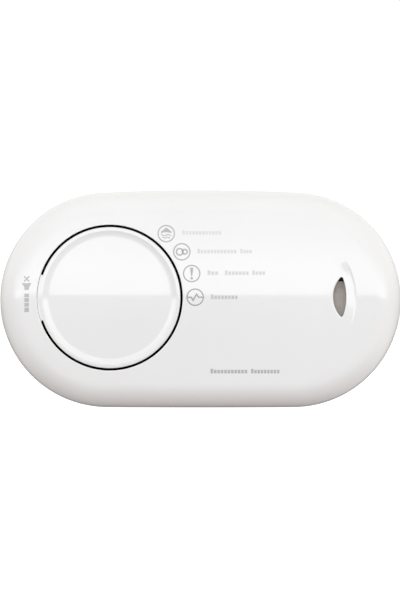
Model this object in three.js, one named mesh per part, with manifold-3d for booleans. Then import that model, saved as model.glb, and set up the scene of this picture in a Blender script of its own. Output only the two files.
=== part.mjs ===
// Battery carbon monoxide alarm, 120 x 65 x 36 mm, that stands on a shelf or hangs on a wall.
// Millimetres. +X is to the right seen from the front, +Y runs from the front to the wall, and
// +Z is up. The origin is the middle of the underside of the alarm's box.

import * as THREE from 'three';
import { ParametricGeometry } from 'three/addons/geometries/ParametricGeometry.js';
import { mergeVertices } from 'three/addons/utils/BufferGeometryUtils.js';
import Module from 'manifold-3d';

const wasm = await Module();
wasm.setup();

// ---------------------------------------------------------------- driving dimensions

// Whole alarm.
const width = 120;
const height = 65;
const depth = 36;
const frontY = -depth / 2;
const backY = depth / 2;
const splitY = 8;
const gap = 0.3;

// Shell: a four-arc oval with a rounded front edge and a face crowned both ways. Its round ends
// sit a little low, so that its underside is flatter than its top.
const endRadius = 32.1;
const endMiddle = -0.3;
const wall = 2;
const edgeIn = 7;
const edgeDeep = 10;
const crownRadiusX = 900;
const crownRadiusZ = 200;

// Rear cover.
const rearStep = 0.4;
const rearDraft = 1.6;
const rearRound = 3;
const lipOut = 2.5;
const lipThick = 1.3;
const lipFront = 5;
const foot = { inner: 16, outer: 28, front: 8.9, back: 15.5, top: -29 };
const keyhole = { x: 30, z: 20, headRadius: 4.25, slotRadius: 2.25, slotLength: 4 };

// Button and the hinge at its left side.
const button = { x: -27.1, z: 0.4, radius: 21.15, hole: 21.75 };
const buttonPlate = { back: 2.9, skirtBack: 4.4, skirtInner: 19.6 };
const well = { radius: 22.9, back: -8, ledgeRadius: 20, ledge: 0.9 };
const tab = { half: 6.8, front: -13.2, back: -11.9 };
const trunnion = { x: button.x - 24.2, y: -12.3, radius: 1.1, half: 8.8 };

// Circuit board.
const board = { inset: 5.6, front: -2.2, back: -0.6 };
const boardPosts = [[20, 20], [20, -23], [-48.5, -12.5]];
const post = { radius: 2.4, pilot: 1.3, pilotFront: -11, hole: 1.35 };

// Screw bosses that join the two covers.
const boss = { x: 44, z: 20, radius: 2.8, pilot: 1.6, pilotFront: -2 };
const tower = { radius: 4.2, counterbore: 3.1, seat: 11 };
const caseScrew = { head: 2.7, shank: 1.3, tip: 0.5 };
const boardScrew = { head: 2.2, shank: 1, tip: -9 };

// Indicators, on an arc round the button.
const indicator = { radius: 25.5, first: 48.6, pitch: 16.1 };
const indicatorNames = ['ventilate', 'alarm', 'fault', 'power'];

// Gas inlet and the cell behind it.
const inlet = { x: 42.3, z: 0.6, half: 5.98, left: 2.7, right: 1.25 };
const cell = { x: 41.5, z: 0.6, radius: 9.2, front: -10 };
const cellStack = {
  capHole: 1.5, capFront: -12.2, gasketInner: 6.2, gasketOuter: 9, gasketFront: -13.2,
  filterRadius: 7, filterFront: -14.2, filterTop: 5.3,
};

// An LED with a domed tip, and the black tube in front of each one.
const lamp = { front: -8, radius: 1.5, shoulder: -6.5, tube: 3.8, bore: 1.85 };

// Switch under the button.
const pushSwitch = { x: button.x + 17.9, side: 6, height: 3.5, stemRadius: 1.7, stemFront: -12 };
const stemDepth = { guide: 2.6, sunk: 1.8 };

// The larger parts on the board: the sounder's coil, two capacitors and the controller.
const drum = { x: 11, z: -14, front: -11, flange: 4.5, core: 3.8, flangeBack: -10, footFront: -4 };
const largeCapacitor = { x: 24, z: 4, radius: 4, tall: 9 };
const smallCapacitor = { x: 23, z: -10, radius: 2.5, tall: 7 };
const controller = { left: 6.5, bottom: -2, side: 7, tall: 1.2 };

// Sounder.
const horn = { radius: 14.5, front: -12.6, back: -2.5, chamber: 11.5, step: -7.2, seat: 13.2 };
const hornMouth = { radius: 3, thick: 1.4, chamfer: 0.8 };
const piezo = { radius: 9, rimContact: 11 };
const sounderCoil = { radius: 1.3, wire: 0.25, turns: 3 };
const foamRing = { inner: 20.1, front: -11.2 };

// Battery tray, cells and door, measured from the tray's own middle height.
const tray = { z: -3, left: -29.7, right: 29.7, half: 15.1, floor: 1.2, wall: 1.4 };
const battery = { radius: 7.1, length: 48.8, nub: 1.2, nubRadius: 2.7, y: 8.5, z: 7.4 };
const door = { front: 16.4, back: 17.9, half: 17.1, right: 31.7, hingeX: -32.6, hingeY: 16.5 };
const hingeRod = { radius: 1.4, pinRadius: 0.8, pinHalf: 18 };

const contact = { thick: 0.5, front: 2.4, back: 14.6, half: 5.6, tabHalf: 2, strapFront: 6, strapBack: 11 };
const contactSpring = { room: 6.8, wire: 0.4, startRadius: 4.6, endRadius: 2.6, turns: 3.5 };
const latchTongue = { thick: 1.6, front: 13.2, half: 4 };
const hingeBedSize = { beside: 3.2, front: 13.4, half: 19 };
const thumbNotchSize = { beside: 1.2, radius: 4.5, deep: 1.2 };

// Rating label on the back.
const label = { left: 38.5, right: 52.5, half: 9, recess: 0.6, front: 0.3, back: 0.05 };

// Facets round a circle.
const coarse = 12;
const medium = 24;
const fine = 44;

// ---------------------------------------------------------------- solids

// A closed three.js geometry as a solid: bare positions, shared corners merged.
function solid(geometry) {
  const mergeDistance = 1e-4;
  const bare = geometry.clone();
  bare.deleteAttribute('normal');
  bare.deleteAttribute('uv');
  const merged = mergeVertices(bare, mergeDistance);
  const corners = merged.index.array;
  const triVerts = [];
  for (let i = 0; i < corners.length; i += 3) {
    const [a, b, c] = corners.subarray(i, i + 3);
    if (a !== b && b !== c && c !== a) {
      triVerts.push(a, b, c);
    }
  }
  const vertProperties = new Float32Array(merged.attributes.position.array);
  const mesh = new wasm.Mesh({ numProp: 3, vertProperties, triVerts: new Uint32Array(triVerts) });
  return new wasm.Manifold(mesh);
}

function join(...solids) {
  return solids.reduce((whole, piece) => whole.add(piece));
}

function cut(whole, ...tools) {
  return tools.reduce((rest, tool) => rest.subtract(tool), whole);
}

function block(left, right, front, back, bottom, top) {
  const geometry = new THREE.BoxGeometry(right - left, back - front, top - bottom);
  geometry.translate((left + right) / 2, (front + back) / 2, (bottom + top) / 2);
  return solid(geometry);
}

// A round rod along Y.
function rod(x, z, radius, front, back, facets = coarse) {
  const geometry = new THREE.CylinderGeometry(radius, radius, back - front, facets);
  geometry.translate(x, (front + back) / 2, z);
  return solid(geometry);
}

// A round rod along Z.
function uprightRod(x, y, radius, bottom, top, facets = coarse) {
  const geometry = new THREE.CylinderGeometry(radius, radius, top - bottom, facets);
  geometry.rotateX(Math.PI / 2);
  geometry.translate(x, y, (bottom + top) / 2);
  return solid(geometry);
}

// A profile of [radius, y] pairs turned round a line along Y through x, z.
function turned(x, z, profile, facets = medium) {
  const points = profile.map(([radius, y]) => new THREE.Vector2(radius, y));
  const geometry = new THREE.LatheGeometry(points, facets);
  geometry.translate(x, 0, z);
  return solid(geometry);
}

// A washer, tube or ring round a line along Y.
function ring(x, z, inner, outer, front, back, facets = medium) {
  const profile = [[inner, front], [outer, front], [outer, back], [inner, back], [inner, front]];
  return turned(x, z, profile, facets);
}

// An outline drawn in X and Z that runs from front to back along Y.
function slab(shape, front, back, curveSegments = 12) {
  const settings = { depth: back - front, bevelEnabled: false, curveSegments };
  const geometry = new THREE.ExtrudeGeometry(shape, settings);
  geometry.rotateX(Math.PI / 2);
  geometry.translate(0, back, 0);
  return solid(geometry);
}

// A closed body through rings, listed from back to front. corner(u, section) gives the X and Z
// of one corner of a ring; a section with crowned set follows the crown of the face.
function lofted(corner, sections, facets) {
  const last = sections.length - 1;
  const surface = (u, v, target) => {
    const section = sections[Math.round(v * last)];
    const point = corner(Math.round(u * facets) % facets, section);
    const y = section.y + (section.crowned ? crown(point.x, point.y) : 0);
    target.set(point.x, y, point.y);
  };
  return solid(new ParametricGeometry(surface, facets, last));
}

// How far the face lies behind its foremost point.
function crown(x, z) {
  return x * x / (2 * crownRadiusX) + z * z / (2 * crownRadiusZ);
}

// A coil spring along Z of its own frame, from 0 to length, with radii at its two ends.
function coil(length, startRadius, endRadiusOfCoil, wire, turns) {
  class Helix extends THREE.Curve {
    getPoint(t, target = new THREE.Vector3()) {
      const angle = 2 * Math.PI * turns * t;
      const radius = startRadius + (endRadiusOfCoil - startRadius) * t;
      return target.set(radius * Math.cos(angle), radius * Math.sin(angle), length * t);
    }
  }
  const section = new THREE.Shape().absarc(0, 0, wire, 0, 2 * Math.PI);
  const settings = { steps: Math.round(turns * 8), curveSegments: 2, extrudePath: new Helix() };
  return new THREE.ExtrudeGeometry(section, settings);
}

// ---------------------------------------------------------------- the oval

// Two round ends joined by two long, slightly bowed sides, tangent where they meet. A side is an
// arc whose middle stands rise beyond the ends; it meets them where the outline faces turn.
const endCentre = width / 2 - endRadius;

function bowedSide(rise) {
  const centre = (endCentre ** 2 - rise ** 2) / (2 * rise);
  return { centre, radius: centre + endRadius + rise, turn: Math.atan2(centre, endCentre) };
}

const topSide = bowedSide(height / 2 - endMiddle - endRadius);
const underside = bowedSide(height / 2 + endMiddle - endRadius);

// Directions that the outline faces, evenly spaced on each of its four arcs.
const endSteps = 16;
const sideSteps = 4;

function spread(from, to, steps) {
  return Array.from({ length: steps }, (unused, i) => from + (to - from) * i / steps);
}

const facings = [
  ...spread(-underside.turn, topSide.turn, endSteps),
  ...spread(topSide.turn, Math.PI - topSide.turn, sideSteps),
  ...spread(Math.PI - topSide.turn, Math.PI + underside.turn, endSteps),
  ...spread(Math.PI + underside.turn, 2 * Math.PI - underside.turn, sideSteps),
];

// The point of the oval, moved in by inset, whose outline faces the given way.
function ovalPoint(facing, inset) {
  const across = Math.cos(facing);
  const up = Math.sin(facing);
  const side = up > 0 ? topSide : underside;
  if (Math.abs(up) > Math.sin(side.turn)) {
    const radius = side.radius - inset;
    return new THREE.Vector2(radius * across, endMiddle + radius * up - Math.sign(up) * side.centre);
  }
  const radius = endRadius - inset;
  return new THREE.Vector2(Math.sign(across) * endCentre + radius * across, endMiddle + radius * up);
}

function ovalShape(inset) {
  return new THREE.Shape(facings.map((facing) => ovalPoint(facing, inset)));
}

function ovalBody(sections) {
  const corner = (i, section) => ovalPoint(facings[i], section.inset).multiplyScalar(section.scale ?? 1);
  return lofted(corner, sections, facings.length);
}

// ---------------------------------------------------------------- front cover

// The outside of the front cover, or the same surface moved in and back by inset.
function frontBody(inset, back = splitY) {
  const edgeSteps = 4;
  const edge = Array.from({ length: edgeSteps + 1 }, (unused, i) => {
    const angle = i / edgeSteps * Math.PI / 2;
    return {
      inset: inset + edgeIn * (1 - Math.cos(angle)),
      y: frontY + inset + edgeDeep * (1 - Math.sin(angle)),
      crowned: true,
    };
  });
  const face = [0.75, 0.5, 0.25, 0].map((scale) => {
    return { inset: inset + edgeIn, y: frontY + inset, crowned: true, scale };
  });
  return ovalBody([{ inset, y: back, scale: 0 }, { inset, y: back }, ...edge, ...face]);
}

const beyond = 1;
const frontOutside = frontBody(0);

// Where pieces inside the front cover may reach.
const frontRoom = frontBody(wall + gap, splitY + beyond);

function caseScrewPlaces() {
  return [[1, 1], [-1, 1], [-1, -1], [1, -1]].map(([right, up]) => [right * boss.x, up * boss.z]);
}

// Two arcs that meet in points at the top and the bottom.
function inletShape() {
  const { half, left, right } = inlet;
  const leftRadius = (half ** 2 + left ** 2) / (2 * left);
  const rightRadius = (half ** 2 + right ** 2) / (2 * right);
  const leftAngle = Math.asin(half / leftRadius);
  const rightAngle = Math.asin(half / rightRadius);
  const shape = new THREE.Shape();
  shape.absarc(inlet.x + right - rightRadius, inlet.z, rightRadius, -rightAngle, rightAngle);
  shape.absarc(inlet.x - left + leftRadius, inlet.z, leftRadius, Math.PI - leftAngle, Math.PI + leftAngle);
  return shape;
}

// One saddle for the button's trunnion, open to the back so that the trunnion snaps in.
function hingeSaddle(up) {
  const [near, far] = [tab.half + 0.6, trunnion.half + 0.6];
  const [bottom, top] = up > 0 ? [near, far] : [-far, -near];
  const { x, y, radius } = trunnion;
  const beside = radius + 1.6;
  const back = y + 2 * radius;
  const mouth = radius - 0.2;
  return cut(
    block(x - beside, x + beside, frontY, back, bottom, top),
    uprightRod(x, y, radius + gap, bottom - beyond, top + beyond),
    block(x - mouth, x + mouth, y, back + beyond, bottom - beyond, top + beyond),
  );
}

function frontCover() {
  const inside = frontBody(wall, splitY + beyond);
  const towers = caseScrewPlaces().map(([x, z]) => rod(x, z, boss.radius, frontY, splitY));
  const posts = boardPosts.map(([x, z]) => rod(x, z, post.radius, frontY, board.front - gap));
  const buttonWell = join(
    ring(button.x, button.z, button.hole, well.radius, frontY, well.back, fine),
    ring(button.x, button.z, well.ledgeRadius, well.radius, well.back - well.ledge, well.back, fine),
  );
  const sensorCollar = ring(
    cell.x, cell.z, cell.radius + 0.8, cell.radius + wall, frontY, cell.front + 1,
  );
  const ribs = join(
    buttonWell, sensorCollar, hingeSaddle(1), hingeSaddle(-1), ...towers, ...posts,
  ).intersect(frontOutside);
  const pilots = caseScrewPlaces().map(([x, z]) => {
    return rod(x, z, boss.pilot, boss.pilotFront, splitY + beyond);
  });
  const postPilots = boardPosts.map(([x, z]) => rod(x, z, post.pilot, post.pilotFront, board.front));
  const tabRoom = 0.5;
  const tabNotch = block(
    button.x - well.radius - beyond, button.x - well.ledgeRadius + 0.2,
    tab.front - tabRoom, tab.back + tabRoom + gap,
    -tab.half - tabRoom, tab.half + tabRoom,
  );
  const holeBack = -14;
  const inletBack = -13;
  return cut(
    join(frontOutside.subtract(inside), ribs),
    ...pilots,
    ...postPilots,
    tabNotch,
    rod(button.x, button.z, button.hole, frontY - beyond, holeBack, fine),
    slab(inletShape(), frontY - beyond, inletBack),
  );
}

// ---------------------------------------------------------------- button

// A round body about the button's middle that follows the crown of the face.
function crownedDisc(profile) {
  const corner = (i, { radius }) => {
    const angle = 2 * Math.PI * i / fine;
    return new THREE.Vector2(
      button.x + radius * Math.cos(angle),
      button.z + radius * Math.sin(angle),
    );
  };
  const sections = profile.map(([radius, sunk]) => ({ radius, y: frontY + sunk, crowned: true }));
  return lofted(corner, sections, fine);
}

function testButton() {
  const { back: plateBack, skirtBack, skirtInner } = buttonPlate;
  // A raised rim round a face that is dished a little.
  const rimAndFace = [[20.8, 0], [20.3, 0.05], [19.4, 0.45], [18.4, 0.8], [9, 0.88], [0, 0.9]];
  const rimChamfer = 0.35;
  const disc = crownedDisc([
    [0, plateBack], [skirtInner, plateBack], [skirtInner, skirtBack], [button.radius, skirtBack],
    [button.radius, rimChamfer], ...rimAndFace,
  ]);
  // The web in the gap at the left lies a little below the face.
  const [webFront, webBack] = [0.45, 2.5];
  const webReach = button.hole - gap;
  const skirtLeft = button.x - skirtInner - 0.8;
  const web = crownedDisc([
    [0, webBack], [webReach, webBack], [webReach, webFront], [0, webFront],
  ]).intersect(block(button.x - button.hole, skirtLeft, frontY, tab.back, -tab.half, tab.half));
  const hingeTab = block(trunnion.x, skirtLeft, tab.front, tab.back, -tab.half, tab.half);
  const hingePin = uprightRod(trunnion.x, trunnion.y, trunnion.radius, -trunnion.half, trunnion.half);
  const presserRadius = 2.2;
  const presserFront = frontY + 2;
  const presser = rod(pushSwitch.x, button.z, presserRadius, presserFront, pushSwitch.stemFront - gap);
  return join(disc, web, hingeTab, hingePin, presser);
}

// ---------------------------------------------------------------- rear cover and door

function rearBody(inset, front, back) {
  const roundSteps = 3;
  const edge = Array.from({ length: roundSteps + 1 }, (unused, i) => {
    const angle = (1 - i / roundSteps) * Math.PI / 2;
    return {
      inset: inset + rearDraft + rearRound * (1 - Math.cos(angle)),
      y: back - rearRound + rearRound * Math.sin(angle),
    };
  });
  return ovalBody([
    { inset: inset + rearDraft + rearRound, y: back, scale: 0 },
    ...edge,
    { inset: inset + rearStep, y: front },
    { inset: inset + rearStep, y: front, scale: 0 },
  ]);
}

// The round head hole with the shank slot above it.
function keyholeCut(x) {
  const { z, headRadius, slotRadius, slotLength } = keyhole;
  const [front, back] = [backY - wall - beyond, backY + beyond];
  return join(
    rod(x, z, headRadius, front, back),
    rod(x, z + slotLength, slotRadius, front, back),
    block(x - slotRadius, x + slotRadius, front, back, z, z + slotLength),
  );
}

function rearCover() {
  const front = splitY + gap;
  const outside = rearBody(0, front, backY);
  const inside = rearBody(wall, front - beyond, backY - wall);
  const lipInset = { outer: ovalShape(lipOut), inner: ovalShape(lipOut + lipThick) };
  const lip = cut(
    slab(lipInset.outer, lipFront, front + beyond),
    slab(lipInset.inner, lipFront - beyond, front + 2 * beyond),
    ...caseScrewPlaces().map(([x, z]) => rod(x, z, boss.radius + gap, lipFront - beyond, front)),
  );
  const towers = caseScrewPlaces().map(([x, z]) => rod(x, z, tower.radius, front, backY - beyond));
  const traySides = block(
    tray.left - tray.wall, tray.right + tray.wall, tray.floor - tray.wall, backY - beyond,
    -tray.half - tray.wall, tray.half + tray.wall,
  );
  const bed = hingeBedSize;
  const hingeBed = block(door.hingeX - bed.beside, tray.left, bed.front, backY - beyond, -bed.half, bed.half);
  const batteryBox = join(traySides, hingeBed).translate([0, 0, tray.z]);
  const feet = [-1, 1].map((side) => {
    const [left, right] = side < 0 ? [-foot.outer, -foot.inner] : [foot.inner, foot.outer];
    return block(left, right, foot.front, foot.back, -height / 2, foot.top);
  });
  const body = join(
    outside.subtract(inside),
    lip,
    join(...towers).intersect(outside),
    batteryBox,
    ...feet,
  );
  const trayRoom = block(tray.left, tray.right, tray.floor, backY + beyond, -tray.half, tray.half);
  const doorRecess = block(
    door.hingeX - 1.9, door.right + gap, door.front - gap, backY + beyond,
    -door.half - gap, door.half + gap,
  );
  const rodTrough = uprightRod(
    door.hingeX, door.hingeY, hingeRod.radius + 0.4, -door.half - gap, door.half + gap,
  );
  const pinHoles = uprightRod(
    door.hingeX, door.hingeY, hingeRod.pinRadius + gap, -hingeRod.pinHalf - gap, hingeRod.pinHalf + gap,
  );
  const thumb = thumbNotchSize;
  const thumbNotch = rod(
    door.right + thumb.beside, 0, thumb.radius, backY - thumb.deep, backY + beyond, medium,
  );
  const latchRoom = 0.4;
  const latchNotch = block(
    door.right - latchTongue.thick - 2 * latchRoom, door.right + gap,
    latchTongue.front - gap, backY + beyond,
    -latchTongue.half - latchRoom, latchTongue.half + latchRoom,
  );
  const slot = { wide: 1.2, half: contact.tabHalf + 0.4 };
  const contactSlots = [battery.z, -battery.z].map((z) => {
    const [bottom, top] = [z - slot.half, z + slot.half];
    return block(tray.left, tray.left + slot.wide, -beyond, tray.floor + beyond, bottom, top);
  });
  const batteryCuts = join(
    trayRoom, doorRecess, rodTrough, pinHoles, thumbNotch, latchNotch, ...contactSlots,
  ).translate([0, 0, tray.z]);
  const labelRecess = block(
    label.left - gap, label.right + gap, backY - label.recess, backY + beyond,
    -label.half - gap, label.half + gap,
  );
  const screwHoles = caseScrewPlaces().map(([x, z]) => join(
    rod(x, z, tower.counterbore, tower.seat, backY + beyond),
    rod(x, z, boss.pilot, front - beyond, tower.seat + beyond),
  ));
  return cut(
    body, batteryCuts, labelRecess, keyholeCut(-keyhole.x), keyholeCut(keyhole.x), ...screwHoles,
  );
}

function batteryDoor() {
  const plate = block(door.hingeX, door.right, door.front, door.back, -door.half, door.half);
  const hingeEdge = uprightRod(door.hingeX, door.hingeY, hingeRod.radius, -door.half, door.half);
  const hingePins = uprightRod(
    door.hingeX, door.hingeY, hingeRod.pinRadius, -hingeRod.pinHalf, hingeRod.pinHalf,
  );
  const { thick, front, half } = latchTongue;
  const tongue = block(door.right - thick, door.right, front, door.back, -half, half);
  return join(plate, hingeEdge, hingePins, tongue);
}

// ---------------------------------------------------------------- batteries and contacts

const trayMiddle = (tray.left + tray.right) / 2;

// A cell along X with its nub to the right.
function batteryCell() {
  const { radius, length, nub, nubRadius } = battery;
  const profile = [
    [0, 0], [radius - 1, 0], [radius, 0.8], [radius, length - 0.8], [radius - 1, length],
    [nubRadius, length], [nubRadius, length + nub], [0, length + nub],
  ];
  const geometry = new THREE.LatheGeometry(profile.map(([r, y]) => new THREE.Vector2(r, y)), medium);
  geometry.rotateZ(-Math.PI / 2);
  geometry.translate(tray.left + contactSpring.room, battery.y, battery.z);
  return solid(geometry);
}

// The same thing turned half round about the tray's middle, for the lower cell.
function turnedAbout(middle, piece) {
  return piece.translate([-middle, 0, 0]).rotate([0, 180, 0]).translate([middle, 0, 0]);
}

// A contact plate at the tray's left end, with a tab through the slot in the tray's floor.
function leftPlate(z, withTab) {
  const { thick, front, back, half, tabHalf } = contact;
  const left = tray.left + gap;
  const plate = block(left, left + thick, front, back, z - half, z + half);
  if (!withTab) {
    return plate;
  }
  const tabTop = front + 2 * thick;
  return join(plate, block(left, left + thick, board.back + gap, tabTop, z - tabHalf, z + tabHalf));
}

// The coil that presses on a cell's flat end, running to the right from the left plate.
function leftSpring(z) {
  const { room, wire, startRadius, endRadius: tipRadius, turns } = contactSpring;
  const geometry = coil(room - gap - contact.thick - wire, startRadius, tipRadius, wire, turns);
  geometry.rotateY(Math.PI / 2);
  geometry.translate(tray.left + gap + contact.thick / 2, battery.y, z);
  return solid(geometry);
}

// The raised boss that meets a cell's nub, on a plate at the tray's left end.
function leftBump(z) {
  const [tip, root, tall] = [2.2, 3, 0.9];
  const geometry = new THREE.CylinderGeometry(tip, root, tall, coarse);
  geometry.rotateZ(-Math.PI / 2);
  geometry.translate(tray.left + gap + contact.thick + tall / 4, battery.y, z);
  return solid(geometry);
}

function contactNegative() {
  return join(leftPlate(battery.z, true), leftSpring(battery.z));
}

function contactPositive() {
  return join(leftPlate(-battery.z, true), leftBump(-battery.z));
}

// One plate across both cells at the right end: the turned twin of both left contacts.
function contactBridge() {
  const left = tray.left + gap;
  const { thick, strapFront, strapBack } = contact;
  const strap = block(left, left + thick, strapFront, strapBack, -battery.z, battery.z);
  const pair = join(
    leftPlate(battery.z, false), leftSpring(battery.z),
    leftPlate(-battery.z, false), leftBump(-battery.z), strap,
  );
  return turnedAbout(trayMiddle, pair);
}

// ---------------------------------------------------------------- circuit board and its parts

function circuitBoard() {
  const bossHoles = caseScrewPlaces().map(([x, z]) => {
    return rod(x, z, boss.radius + 0.6, board.front - beyond, board.back + beyond);
  });
  const screwHoles = boardPosts.map(([x, z]) => {
    return rod(x, z, post.hole, board.front - beyond, board.back + beyond);
  });
  return cut(slab(ovalShape(board.inset), board.front, board.back), ...bossHoles, ...screwHoles);
}

const partBack = board.front - gap;

function led([x, z]) {
  const { front, radius, shoulder } = lamp;
  const dome = [1 / 3, 2 / 3].map((share) => {
    const angle = share * Math.PI / 2;
    return [radius * Math.sin(angle), shoulder + (front - shoulder) * Math.cos(angle)];
  });
  return turned(x, z, [[0, front], ...dome, [radius, shoulder], [radius, partBack], [0, partBack]], coarse);
}

function indicatorPlaces() {
  return indicatorNames.map((unused, i) => {
    const angle = THREE.MathUtils.degToRad(indicator.first - indicator.pitch * i);
    return [
      button.x + indicator.radius * Math.cos(angle),
      button.z + indicator.radius * Math.sin(angle),
    ];
  });
}

// One black block with a bore in front of each LED.
function lightShroud() {
  const tubes = indicatorPlaces().map(([x, z]) => rod(x, z, lamp.tube, frontY, partBack));
  const bores = indicatorPlaces().map(([x, z]) => rod(x, z, lamp.bore, frontY - beyond, partBack + beyond));
  const besideWell = rod(button.x, button.z, well.radius + gap, frontY - beyond, 0, fine);
  return cut(join(...tubes).intersect(frontRoom), besideWell, ...bores);
}

function switchBody() {
  const { x, side, height: tall, stemRadius } = pushSwitch;
  const front = partBack - tall;
  return cut(
    block(x - side / 2, x + side / 2, front, partBack, button.z - side / 2, button.z + side / 2),
    rod(x, button.z, stemRadius + gap, front - beyond, front + stemDepth.guide),
  );
}

function switchStem() {
  const { x, stemRadius, stemFront } = pushSwitch;
  return rod(x, button.z, stemRadius, stemFront, partBack - stemDepth.sunk);
}

// A drum core with its winding between two flanges.
function driverCoil() {
  const { x, z, front, flange, core, flangeBack, footFront } = drum;
  return turned(x, z, [
    [0, front], [flange, front], [flange, flangeBack], [core, flangeBack],
    [core, footFront], [flange, footFront], [flange, partBack], [0, partBack],
  ]);
}

// A can with the crimped groove near its foot.
function capacitor({ x, z, radius, tall }) {
  const front = partBack - tall;
  const chamfer = 0.3;
  const crimp = { front: partBack - 1.6, back: partBack - 1, deep: 0.25 };
  return turned(x, z, [
    [0, front], [radius - chamfer, front], [radius, front + chamfer],
    [radius, crimp.front], [radius - crimp.deep, (crimp.front + crimp.back) / 2], [radius, crimp.back],
    [radius, partBack], [0, partBack],
  ], coarse);
}

function microcontroller() {
  const { left, bottom, side, tall } = controller;
  return block(left, left + side, partBack - tall, partBack, bottom, bottom + side);
}

// ---------------------------------------------------------------- sounder

function sounderHorn() {
  const { radius, front, back, chamber, step, seat } = horn;
  const { radius: mouth, thick, chamfer } = hornMouth;
  return turned(button.x, button.z, [
    [mouth, front], [radius - chamfer, front], [radius, front + chamfer], [radius, back], [seat, back],
    [seat, step], [chamber, step], [chamber, front + thick], [mouth, front + thick], [mouth, front],
  ]);
}

function sounderPlate() {
  return rod(button.x, button.z, horn.seat - gap, horn.step + gap, horn.step + 2 * gap, medium);
}

function sounderCeramic() {
  return rod(button.x, button.z, piezo.radius, horn.step + 3 * gap, horn.step + 4 * gap, medium);
}

// A contact spring that stands on the board and presses on the sounder.
function sounderSpring(x, front) {
  const { radius, wire, turns } = sounderCoil;
  const geometry = coil(partBack - front - 2 * wire, radius, radius, wire, turns);
  geometry.rotateX(Math.PI / 2);
  geometry.translate(x, partBack - wire, button.z);
  return solid(geometry);
}

function sounderGasket() {
  const back = well.back - well.ledge - gap;
  return ring(button.x, button.z, foamRing.inner, button.hole - gap, foamRing.front, back, fine);
}

// ---------------------------------------------------------------- gas cell

function sensorCell() {
  const { x, z, radius, front } = cell;
  const chamfer = 0.6;
  const crimp = { middle: -3.9, half: 0.5, deep: 0.5 };
  return turned(x, z, [
    [0, front], [radius - chamfer, front], [radius, front + chamfer], [radius, crimp.middle - crimp.half],
    [radius - crimp.deep, crimp.middle], [radius, crimp.middle + crimp.half],
    [radius, partBack], [0, partBack],
  ]);
}

function sensorCap() {
  return ring(cell.x, cell.z, cellStack.capHole, cell.radius, cellStack.capFront, cell.front - gap);
}

function sensorGasket() {
  const { gasketInner, gasketOuter, gasketFront, capFront } = cellStack;
  return ring(cell.x, cell.z, gasketInner, gasketOuter, gasketFront, capFront - gap);
}

// A felt disc whose top edge is cut straight, a little below the inlet's upper tip.
function ventFilter() {
  const { filterRadius, filterFront, filterTop, gasketFront } = cellStack;
  const { x, z } = cell;
  const top = z + filterRadius + beyond;
  return cut(
    rod(x, z, filterRadius, filterFront, gasketFront - gap, medium),
    block(x - filterRadius, x + filterRadius, filterFront - beyond, gasketFront, filterTop, top),
  );
}

// ---------------------------------------------------------------- fasteners and label

// A pan-head screw whose head faces the back, with a cross recess.
function screw([x, z], seat, { head, shank, tip }) {
  const under = seat + gap;
  const headTall = head * 0.62;
  const top = under + headTall;
  const shoulder = top - headTall * 0.45;
  const crownRadius = head * 0.72;
  const point = 1.5;
  const slotHalf = head * 0.14;
  const reach = head * 0.6;
  const bottom = top - 0.9;
  const body = turned(x, z, [
    [0, tip], [shank / 2, tip], [shank, tip + point], [shank, under], [head, under],
    [head, shoulder], [crownRadius, top], [0, top],
  ], coarse);
  return cut(
    body,
    block(x - reach, x + reach, bottom, top + beyond, z - slotHalf, z + slotHalf),
    block(x - slotHalf, x + slotHalf, bottom, top + beyond, z - reach, z + reach),
  );
}

function ratingLabel() {
  const { left, right, half, front, back } = label;
  return block(left, right, backY - front, backY - back, -half, half);
}

// ---------------------------------------------------------------- assembly

// Drawn round the middle of the oval, then stood on its underside.
const alarm = new THREE.Group();
const drawn = new THREE.Group();
drawn.position.z = height / 2;
alarm.add(drawn);

// The door, the cells and their contacts are drawn round the tray's own middle height.
const batteryBay = new THREE.Group();
batteryBay.position.z = tray.z;
drawn.add(batteryBay);

function place(name, body, color, roughness, metalness = 0, group = drawn) {
  const { numProp, vertProperties, triVerts } = body.getMesh();
  const geometry = new THREE.BufferGeometry();
  geometry.setAttribute('position', new THREE.BufferAttribute(new Float32Array(vertProperties), numProp));
  geometry.setIndex(new THREE.BufferAttribute(new Uint32Array(triVerts), 1));
  geometry.computeVertexNormals();
  const material = new THREE.MeshStandardMaterial({ color, roughness, metalness });
  const mesh = new THREE.Mesh(geometry, material);
  mesh.name = name;
  group.add(mesh);
}

const glossWhite = '#f7f7f6';
const black = '#1a1a1b';
const steel = '#c4c6c8';

place('front_cover', frontCover(), glossWhite, 0.12);
place('rear_cover', rearCover(), '#efefee', 0.4);
place('test_button', testButton(), glossWhite, 0.12);

const jacket = '#2b2e33';
place('battery_door', batteryDoor(), '#efefee', 0.4, 0, batteryBay);
place('battery_upper', batteryCell(), jacket, 0.35, 0.3, batteryBay);
place('battery_lower', turnedAbout(trayMiddle, batteryCell()), jacket, 0.35, 0.3, batteryBay);
place('contact_negative', contactNegative(), steel, 0.3, 1, batteryBay);
place('contact_positive', contactPositive(), steel, 0.3, 1, batteryBay);
place('contact_bridge', contactBridge(), steel, 0.3, 1, batteryBay);

place('circuit_board', circuitBoard(), '#1f6b3a', 0.45);
place('light_shroud', lightShroud(), black, 0.6);
const ledColors = { ventilate: '#d8433a', alarm: '#d8433a', fault: '#e0a020', power: '#45b054' };
indicatorNames.forEach((name, i) => {
  place(`led_${name}`, led(indicatorPlaces()[i]), ledColors[name], 0.2);
});
place('switch_body', switchBody(), black, 0.5);
place('switch_stem', switchStem(), '#2a2a2c', 0.5);
place('microcontroller', microcontroller(), black, 0.5);
place('driver_coil', driverCoil(), '#7a4a2a', 0.4, 0.4);
place('capacitor_large', capacitor(largeCapacitor), '#20242c', 0.35, 0.2);
place('capacitor_small', capacitor(smallCapacitor), '#20242c', 0.35, 0.2);

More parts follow.
